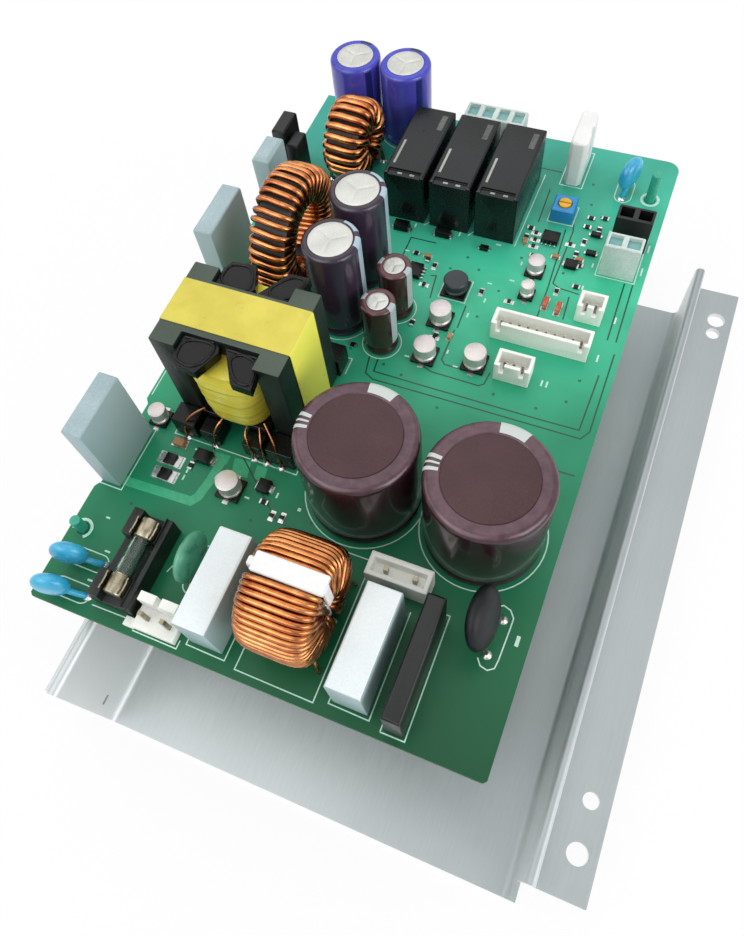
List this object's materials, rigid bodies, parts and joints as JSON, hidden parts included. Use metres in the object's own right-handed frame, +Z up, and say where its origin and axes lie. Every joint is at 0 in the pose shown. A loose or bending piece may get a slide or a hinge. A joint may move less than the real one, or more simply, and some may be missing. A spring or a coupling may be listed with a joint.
{
  "type": "open frame power supply",
  "caption": "Open frame power supply: green circuit board with relays, capacitors, wound chokes and a taped transformer, over a folded aluminium tray with side mounting flanges.",
  "frame": {"origin": "centre of the underside of the tray's floor", "axes": "+Z up from the floor to the board, -Y towards the edge with the mains inlet and the wide choke, +X to the right seen from that edge"},
  "size_m": [0.152, 0.214, 0.0839],
  "materials": {
    "tray_metal": "satin",
    "steel": "satin",
    "board": "semi-gloss",
    "green_nylon": "satin",
    "blue_sleeve": "gloss",
    "plum_sleeve": "gloss",
    "brown_sleeve": "gloss",
    "maroon_sleeve": "gloss",
    "maroon_disc": "satin",
    "can_metal": "satin",
    "ring_coating": "matte",
    "choke_coating": "matte",
    "copper": "enamelled gloss",
    "white_plastic": "matte",
    "ferrite": "matte",
    "yellow_tape": "satin",
    "black_plastic": "satin",
    "grey_resin": "matte",
    "white_resin": "matte",
    "fuse_glass": "clear",
    "plated_metal": "bright",
    "blue_resin": "gloss",
    "dark_resin": "gloss",
    "cement": "matte",
    "blue_plastic": "satin",
    "yellow_plastic": "satin",
    "cream_plastic": "satin",
    "cell_plastic": "satin",
    "solder": "bright",
    "tan_ceramic": "matte",
    "orange_glass": "gloss"
  },
  "bodies": {
    "supply": {"black_power_header": "black_plastic", "blue_discs": "blue_resin", "bridge_rectifier": "black_plastic", "bulk_cap_sleeves": "maroon_sleeve", "bulk_cap_tops": "maroon_disc", "cement_resistor": "cement", "chip_caps": "tan_ceramic", "choke_core": "choke_coating", "choke_divider": "white_plastic", "choke_front_winding": "copper", "choke_rear_winding": "copper", "circuit_board": "board", "film_caps": "grey_resin", "fuse_clips": "plated_metal", "fuse_ends": "plated_metal", "fuse_glass": "fuse_glass", "fuse_holder": "black_plastic", "glass_diodes": "orange_glass", "header_pins": "plated_metal", "large_ring_core": "ring_coating", "large_ring_winding": "copper", "line_filter_caps": "white_resin", "link_wafer": "cream_plastic", "mains_wafer": "cream_plastic", "middle_cap_sleeves": "plum_sleeve", "middle_cap_tops": "can_metal", "pillars": "steel", "rear_blocks": "black_plastic", "rear_cap_sleeves": "blue_sleeve", "rear_cap_tops": "can_metal", "rear_header": "cell_plastic", "relays": "black_plastic", "small_cap_sleeves": "brown_sleeve", "small_cap_tops": "can_metal", "small_headers": "cream_plastic", "small_ring_core": "ring_coating", "small_ring_winding": "copper", "solder_joints": "solder", "support_posts": "green_nylon", "surface_can_bases": "black_plastic", "surface_cans": "can_metal", "surface_chips": "black_plastic", "surface_inductor": "black_plastic", "surface_resistors": "black_plastic", "surface_terminals": "solder", "thermistor": "dark_resin", "transformer_bobbin": "black_plastic", "transformer_core": "ferrite", "transformer_leads": "copper", "transformer_tape": "yellow_tape", "transformer_winding": "yellow_tape", "tray": "tray_metal", "trimmer_body": "blue_plastic", "varistor": "dark_resin", "white_power_header": "cell_plastic"},
    "trimmer_rotor": {"trimmer_rotor": "yellow_plastic"}
  },
  "joints": [
    {"name": "trimmer_turn", "type": "hinge", "parent": "supply", "child": "trimmer_rotor", "pos_m": [0.0161, 0.0852, 0.0515], "axis": [0, 0, 1], "range_deg": [-130, 130]}
  ]
}
